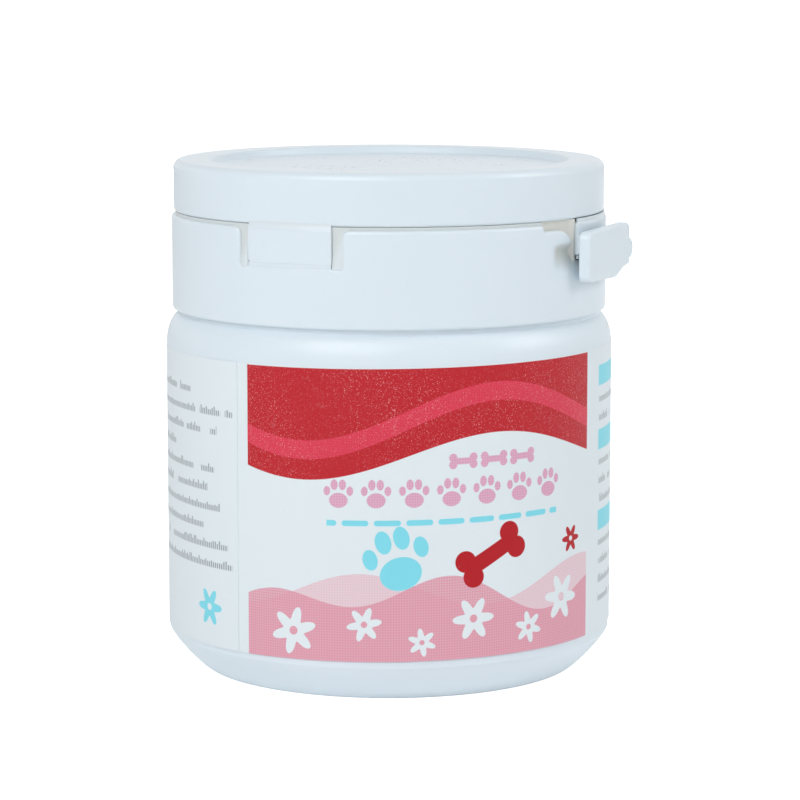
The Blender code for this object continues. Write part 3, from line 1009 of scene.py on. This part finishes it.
def label_finish():
    """Varnished white paper with its print, halftone grain, specks of missing ink and a few soft scuffs."""
    paint = Paint("printed_paper", 0.36)
    art = LabelPrint(paint)
    u, v = art.u, art.v
    grain = paint.noise(0.11 * MM, 1.0)
    patches = paint.noise(9 * MM, 3.0)
    dots = paint.math("SINE", (u + v) * HALFTONE_TURN) * paint.math("SINE", (u - v) * HALFTONE_TURN)

    def ink(shape):
        return paint.above(shape, INK_SOFTNESS)

    def both(first, second):
        return paint.math("MINIMUM", first, second)

    def swell(turn, start, height):
        return paint.math("SINE", u * turn + start) * height

    front = art.box(-PRINT_HALF_WIDTH, PRINT_HALF_WIDTH, -1.0, PRINT_TOP)
    wave = paint.math("SINE", (u + WAVE_LEAD) * (math.tau / WAVE_LENGTH)) * WAVE_HEIGHT
    red = both(front, v - RED_FOOT - wave)
    ribbon_middle = wave * RIBBON_SWING + RIBBON_LEVEL
    ribbon = both(red, RIBBON_HALF - paint.math("ABSOLUTE", v - ribbon_middle))
    hills = swell(*HILL_SWELLS[0]) + swell(*HILL_SWELLS[1])
    pink = both(front, hills + HILL_LEVEL - v)
    pale = both(front, swell(*FAR_SWELL) + FAR_LEVEL - v)

    base = paint.mix(patches * 0.5, LABEL_WHITE, LABEL_SHADE)
    base = paint.mix(ink(pale) * (dots * 0.2 + 0.75), base, PALE_PINK)
    base = paint.mix(ink(pink) * (dots * 0.22 + 0.86), base, PINK)
    bloom = paint.largest(*[art.daisy(art.shifted(a, b, 0.3 * a), size) for a, b, size in DAISIES])
    base = paint.mix(ink(bloom), base, LABEL_WHITE)

    red_ink = paint.mix(grain, DEEP_RED, GRAIN_RED)
    bright_ink = paint.mix(dots * 0.15 + grain * 0.8, BRIGHT_RED, GRAIN_BRIGHT)
    specks = paint.above(paint.noise(0.09 * MM, 0.0) - 0.71, 0.06) * paint.above(patches - 0.4, 0.3)
    base = paint.mix(ink(red), base, red_ink)
    base = paint.mix(ink(ribbon), base, bright_ink)
    base = paint.mix(ink(red) * specks * 0.8, base, SPECK_WHITE)

    paws = both(art.paw(art.shifted(1.5, 15.2, pitch=3.4), 2.5), art.box(*PAW_ROW))
    bones = both(art.bone(art.shifted(5.6, 18.0, pitch=3.0), 2.4), art.box(*BONE_ROW))
    base = paint.mix(ink(paint.largest(paws, bones)) * (dots * 0.15 + 0.85), base, ROSE)
    rule = both(art.pill(art.shifted(1.5, 12.6, pitch=2.9), 0.95, 0.26), art.box(*DASH_ROW))
    base = paint.mix(ink(rule), base, TURQUOISE)
    base = paint.mix(ink(art.paw(art.shifted(-3.4, 9.2, 0.25), 5.6)), base, TURQUOISE)
    base = paint.mix(ink(art.bone(art.shifted(5.4, 9.3, 0.5), 6.2)), base, DEEP_RED)
    base = paint.mix(ink(art.daisy(art.shifted(15.0, 9.6), 2.6)), base, DEEP_RED)

    rows = paint.largest(*[art.lines(*block) for block in TEXT_BLOCKS])
    base = paint.mix(rows * 0.85, base, PRINT_GREY)
    tags = paint.largest(*[art.box(TAG_LEFT, TAG_RIGHT, low, low + TAG_HEIGHT) for low in TAG_FEET])
    base = paint.mix(ink(tags), base, TURQUOISE)
    base = paint.mix(ink(art.daisy(art.shifted(-23.0, 3.6), 3.6)), base, TURQUOISE)

    scuffs = paint.above(paint.noise(0.5 * MM, 4.0) - 0.7, 0.2) * paint.above(paint.noise(7 * MM) - 0.56, 0.1)
    base = paint.mix(scuffs * 0.12, base, LABEL_SCUFF)
    paint.set("Base Color", base)
    paint.set("Roughness", patches * 0.12 + 0.34)
    paint.set("Specular IOR Level", 0.28)
    paint.bump(paint.noise(0.35 * MM, 2.0), 0.004 * MM)
    return paint.material


# Plastics and powder

PLASTIC_WHITE = colour(221, 233, 241)
PLASTIC_SHADE = colour(217, 229, 237)
# Painted shade for faces set back in the cap's gaps: grey, and warm grey further in
PAINTED_GAP_SHADE = colour(206, 211, 209)
PAINTED_WARM_SHADE = colour(228, 228, 221)
INNER_REACH = 1.8 * MM
INNER_FOOT = SHOULDER_HEIGHT + 1.0 * MM
INNER_TOP = LID_TOP - 1.2 * MM
# Depths behind the cap's face past which the painted shade, and then the painted warm shade, is mixed in
SHADE_DEPTH = 0.55 * MM
WARM_SHADE_DEPTH = 1.05 * MM
JAR_ROUGHNESS = 0.34
JAR_GRAIN = 0.5 * MM
CAP_ROUGHNESS = 0.32
CAP_GRAIN = 0.35 * MM
DUST = colour(104, 100, 98)
SCUFF_GREY = colour(190, 198, 203)
POWDER_TAN = colour(196, 164, 104)
POWDER_PALE = colour(214, 188, 132)
POWDER_DARK = colour(150, 116, 66)


def plastic_finish(name, roughness, grain_size, dusty=False, shade_depth=SHADE_DEPTH, warm_shade_depth=WARM_SHADE_DEPTH):
    """Satin moulded plastic with a fine grain and faint scuffs, and painted shade in the cap's gaps: grey,
    then warm grey, the deeper a face is set in.

    A dusty one has specks on the lid's sunken panel.
    """
    paint = Paint(name, roughness)
    clouds = paint.noise(11 * MM, 3.0)
    grain = paint.noise(grain_size, 2.0)
    base = paint.mix(clouds, PLASTIC_WHITE, PLASTIC_SHADE)
    scuffs = paint.above(paint.noise(0.6 * MM, 4.0) - 0.72, 0.12)
    scuffs = scuffs * paint.above(paint.noise(8 * MM) - 0.6, 0.1)
    base = paint.mix(scuffs * 0.3, base, SCUFF_GREY)
    # Painted shade: within the cap's height, faces set back from its round face turn grey past the shade
    # depth, and warm grey further in
    reach = paint.length(paint.x, paint.y)
    painted_shade_zone = paint.above(paint.z - INNER_FOOT, 0.5 * MM) * paint.above(INNER_TOP - paint.z, 0.3 * MM)
    painted_shade_zone = painted_shade_zone * paint.above(reach - (CAP_RADIUS - INNER_REACH), 0.4 * MM)
    base = paint.mix(painted_shade_zone * paint.above(CAP_RADIUS - shade_depth - reach, 0.5 * MM), base, PAINTED_GAP_SHADE)
    base = paint.mix(painted_shade_zone * paint.above(CAP_RADIUS - warm_shade_depth - reach, 0.2 * MM), base, PAINTED_WARM_SHADE)
    if dusty:
        on_panel = paint.above(CAP_RADIUS - PANEL_RIM - 1.2 * MM - reach, 2 * MM)
        on_panel = on_panel * paint.above(paint.z - (LID_TOP - PANEL_DROP - 0.2 * MM), 0.1 * MM)
        drifts = paint.above(paint.noise(6 * MM, 1.0) - 0.52, 0.1)
        specks = paint.above(paint.noise(0.34 * MM, 0.0) - 0.76, 0.04)
        base = paint.mix(on_panel * drifts * specks * 0.85, base, DUST)
    paint.set("Base Color", base)
    paint.set("Roughness", grain * 0.1 + clouds * 0.06 + (roughness - 0.08))
    paint.set("Subsurface Weight", 0.12)
    paint.set("Subsurface Radius", (1.0, 0.9, 0.8))
    paint.set("Subsurface Scale", 0.8 * MM)
    paint.bump(grain + paint.noise(4 * MM, 1.0) * 1.5, 0.003 * MM)
    return paint.material


def powder_finish():
    """Dull yellow-brown powder with paler and darker grains."""
    paint = Paint("powder_grain", 0.95)
    grains = paint.noise(0.18 * MM, 3.0)
    lumps = paint.noise(2.2 * MM, 3.0)
    base = paint.mix(lumps, POWDER_TAN, POWDER_PALE)
    base = paint.mix(paint.above(grains - 0.6, 0.1) * 0.6, base, POWDER_DARK)
    paint.set("Base Color", base)
    paint.bump(grains + lumps, 0.06 * MM)
    return paint.material


# Studio: camera at the photo's view, soft lamps, a pale floor

CAMERA_SIDE = 1.04 * MM
CAMERA_DISTANCE = 308.5 * MM
CAMERA_HEIGHT = 69.0 * MM
CAMERA_PITCH = math.radians(8.156)
CAMERA_LENS = 147.7
CAMERA_NEAR = 10 * MM
SENSOR = 36.0
AIM = Vector((0.0, 0.0, 25 * MM))
FLOOR_SIZE = 8.0
FLOOR_GLOW = 0.8
FLOOR_BOUNCE = 0.185
FLOOR_WHITE = 0.9
WORLD_LIGHT = 0.36
# Azimuth and elevation in degrees, distance and size in metres, watts, and whether it leaves a highlight
LAMPS = {
    "left_softbox": (-41, 38, 0.6, 0.35, 0.6),
    "front_softbox": (-22, 38, 0.6, 0.35, 1.2),
    "right_softbox": (83, 31, 0.6, 0.3, 0.95),
    "back_fill": (168, 12, 0.6, 0.4, 1.1, False),
}


def camera():
    data = bpy.data.cameras.new("camera")
    data.lens = CAMERA_LENS
    data.sensor_width = SENSOR
    data.clip_start = CAMERA_NEAR
    made = bpy.data.objects.new("camera", data)
    made.location = (CAMERA_SIDE, -CAMERA_DISTANCE, CAMERA_HEIGHT)
    made.rotation_euler = (math.pi / 2 - CAMERA_PITCH, 0, 0)
    scene.collection.objects.link(made)
    scene.camera = made


def lamp(name, azimuth, elevation, distance, size, power, mirrored=True):
    """A square soft lamp aimed at the jar. One that isn't mirrored leaves no highlight."""
    data = bpy.data.lights.new(name, "AREA")
    data.size = size
    data.energy = power
    made = bpy.data.objects.new(name, data)
    made.visible_glossy = mirrored
    level = distance * math.cos(math.radians(elevation))
    made.location = AIM + around(math.radians(azimuth), level, distance * math.sin(math.radians(elevation)))
    made.rotation_euler = (AIM - made.location).to_track_quat("-Z", "Y").to_euler()
    scene.collection.objects.link(made)


def world():
    """Even light all round. A reflection sees white, as the camera does."""
    made = bpy.data.worlds.new("studio")
    made.use_nodes = True
    nodes, links = made.node_tree.nodes, made.node_tree.links
    path = nodes.new("ShaderNodeLightPath")
    seen = path.outputs["Is Camera Ray"]
    for ray in ("Is Glossy Ray", "Is Transmission Ray"):
        either = nodes.new("ShaderNodeMath")
        either.operation = "MAXIMUM"
        links.new(seen, either.inputs[0])
        links.new(path.outputs[ray], either.inputs[1])
        seen = either.outputs[0]
    strength = nodes.new("ShaderNodeMapRange")
    strength.inputs["To Min"].default_value = WORLD_LIGHT
    strength.inputs["To Max"].default_value = 1.0
    links.new(seen, strength.inputs["Value"])
    background = nodes["Background"]
    background.inputs["Color"].default_value = (1, 1, 1, 1)
    links.new(strength.outputs["Result"], background.inputs["Strength"])
    scene.world = made


def floor():
    """A softly lit table that the camera sees as white, with the jar's shadow on it."""
    half = FLOOR_SIZE / 2
    corners = [(-half, -half, 0), (half, -half, 0), (half, half, 0), (-half, half, 0)]
    mesh = bpy.data.meshes.new("floor")
    mesh.from_pydata(corners, [], [(0, 1, 2, 3)])
    made = bpy.data.objects.new("floor", mesh)
    scene.collection.objects.link(made)
    material = bpy.data.materials.new("pale_floor")
    material.use_nodes = True
    nodes, links = material.node_tree.nodes, material.node_tree.links
    shader = nodes["Principled BSDF"]
    shader.inputs["Base Color"].default_value = (FLOOR_WHITE, FLOOR_WHITE, FLOOR_WHITE, 1)
    shader.inputs["Roughness"].default_value = 1.0
    shader.inputs["Specular IOR Level"].default_value = 0.0
    shader.inputs["Emission Color"].default_value = (1, 1, 1, 1)
    path = nodes.new("ShaderNodeLightPath")
    glow = nodes.new("ShaderNodeMath")
    glow.operation = "MULTIPLY_ADD"
    glow.inputs[1].default_value = FLOOR_GLOW - FLOOR_BOUNCE
    glow.inputs[2].default_value = FLOOR_BOUNCE
    links.new(path.outputs["Is Camera Ray"], glow.inputs[0])
    links.new(glow.outputs[0], shader.inputs["Emission Strength"])
    mesh.materials.append(material)


def studio():
    scene.view_settings.view_transform = "Standard"
    camera()
    world()
    floor()
    for name, values in LAMPS.items():
        lamp(name, *values)


# Creases, lips and the whole jar


def creases(plastic):
    """The thin webs that join the cap's pieces across the joints."""
    hinge = around(HINGE_ANGLE, CAP_RADIUS, 0.0)

    def rise(height):
        return hinge + Vector((0.0, 0.0, height))

    mesh = film("lower_film", WINDOW_BOTTOM - FILM_LAP, BAND_BOTTOM + FILM_LAP, lambda up: FILM_DEPTH)
    lower = piece("lower_film", mesh, plastic)
    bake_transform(lower)

    def lean(up):
        return LID_INSET * smooth(COLLAR_TOP - CAP_EDGE, LID_BOTTOM + CAP_EDGE, up)

    mesh = film("upper_film", COLLAR_TOP - FILM_LAP, LID_BOTTOM + CAP_EDGE, lean)
    upper = piece("upper_film", mesh, plastic)
    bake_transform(upper)

    end = STRIP_FAR
    middle = (BAND_BOTTOM + COLLAR_TOP) / 2
    root = piece("root_film", root_film(), plastic)
    on_cap(end + SEAT_GAP, middle, 0.0)
    on_cap(end, middle, 0.0)
    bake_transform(root)

    web = piece("tab_web", tab_web(), plastic)
    near = WEB_INSET - TAB_LEAD
    on_tab(near, middle, TAB_THICKNESS + SEAT_GAP)
    on_tab(near, middle, TAB_THICKNESS)
    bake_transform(web)


def lips(plastic, inner, sloped):
    """The narrow rings behind the cap's gaps, and the sloped floors of the notches beside the strap."""
    strap = STRAP_WIDTH / 2
    half = strap + NOTCH_WIDTH / 2
    mouth = strap + NOTCH_WIDTH + NOTCH_CORNER
    step = STEP_NEAR - FILM_EDGE
    top, foot = LID_BOTTOM - LIP_GAP, COLLAR_TOP - LIP_LAP
    sill = WINDOW_BOTTOM - LIP_LAP
    wide = (LIP_INSET, LIP_THICKNESS)
    start = (START_LIP_INSET, BACK_LIP_THICKNESS)
    crease = (CREASE_LIP_INSET, BACK_LIP_THICKNESS)
    web = (WEB_LIP_INSET, WEB_LIP_THICKNESS, STRIP_NEAR + CAP_EDGE, STRIP_FAR - CAP_EDGE)
    places = (
        ("start_lip", "jar", *start, step, STRIP_NEAR - LIP_GAP, sill, top, START_LIP_CLIMB),
        ("crease_lip", "jar", *crease, -half, half, sill, BAND_BOTTOM - LIP_GAP),
        ("strap_lip", "strap", *crease, -strap, strap, COLLAR_TOP - FILM_LAP, top),
        ("right_lip", "jar", *wide, mouth, step, foot, top),
        ("left_lip", "jar", *wide, CAP_EDGE - STRIP_NEAR, -mouth, foot, top),
        ("upper_web", "strip", *web, foot, top),
        ("lower_web", "strip", *web, WINDOW_BOTTOM + LIP_GAP, BAND_BOTTOM + LIP_LAP),
    )
    for name, body, *sizes in places:
        # The lip behind the step takes the painted warm shade, and the ramps take painted shade that darkens
        # as they sink
        finish = inner if name == "start_lip" else plastic
        piece(name, lip(name, *sizes), finish, body)
    edge = strap + LIP_GAP
    ramps = (("right_ramp", edge, edge, mouth), ("left_ramp", NOTCH_CORNER - mouth, -mouth, -edge))
    for name, *sizes in ramps:
        piece(name, notch_ramp(name, *sizes), sloped, "jar")


def main():
    studio()
    jar_plastic = plastic_finish("jar_plastic", JAR_ROUGHNESS, JAR_GRAIN)
    # The cap's painted shade starts nearer its face, so its notch walls and finger hollow are painted darker
    cap_plastic = plastic_finish("cap_plastic", CAP_ROUGHNESS, CAP_GRAIN, shade_depth=0.3 * MM)
    lid_plastic = plastic_finish("lid_plastic", CAP_ROUGHNESS, CAP_GRAIN, dusty=True)
    piece("jar_shell", jar_shell(), jar_plastic, "jar", ["jar_body"])
    piece("printed_label", label_sheet(), label_finish(), "jar", ["wrap_label"])
    piece("powder_heap", powder_heap(), powder_finish(), "jar", ["powder_fill"])
    piece("collar_ring", collar_ring(), cap_plastic, "jar", ["cap_collar"])
    piece("strap_band", strap_band(), cap_plastic, "strap", ["hinge_strap"])
    piece("lid_shell", lid_shell(), lid_plastic, "lid", ["flip_lid"])
    piece("strip_band", strip_band(), cap_plastic, "strip", ["tear_strip"])
    piece("tab_plate", tab_plate(), cap_plastic, "tab", ["pull_tab"])
    creases(cap_plastic)
    # Painted shade for the lip behind the step, warm grey all over it, and for the notch ramps, darker as
    # they sink
    warm_shade_plastic = plastic_finish(
        "warm_shade_plastic", JAR_ROUGHNESS, CAP_GRAIN, shade_depth=0.2 * MM, warm_shade_depth=0.3 * MM
    )
    ramp_shade_plastic = plastic_finish("ramp_shade_plastic", JAR_ROUGHNESS, CAP_GRAIN, shade_depth=0.15 * MM)
    lips(cap_plastic, warm_shade_plastic, ramp_shade_plastic)


main()
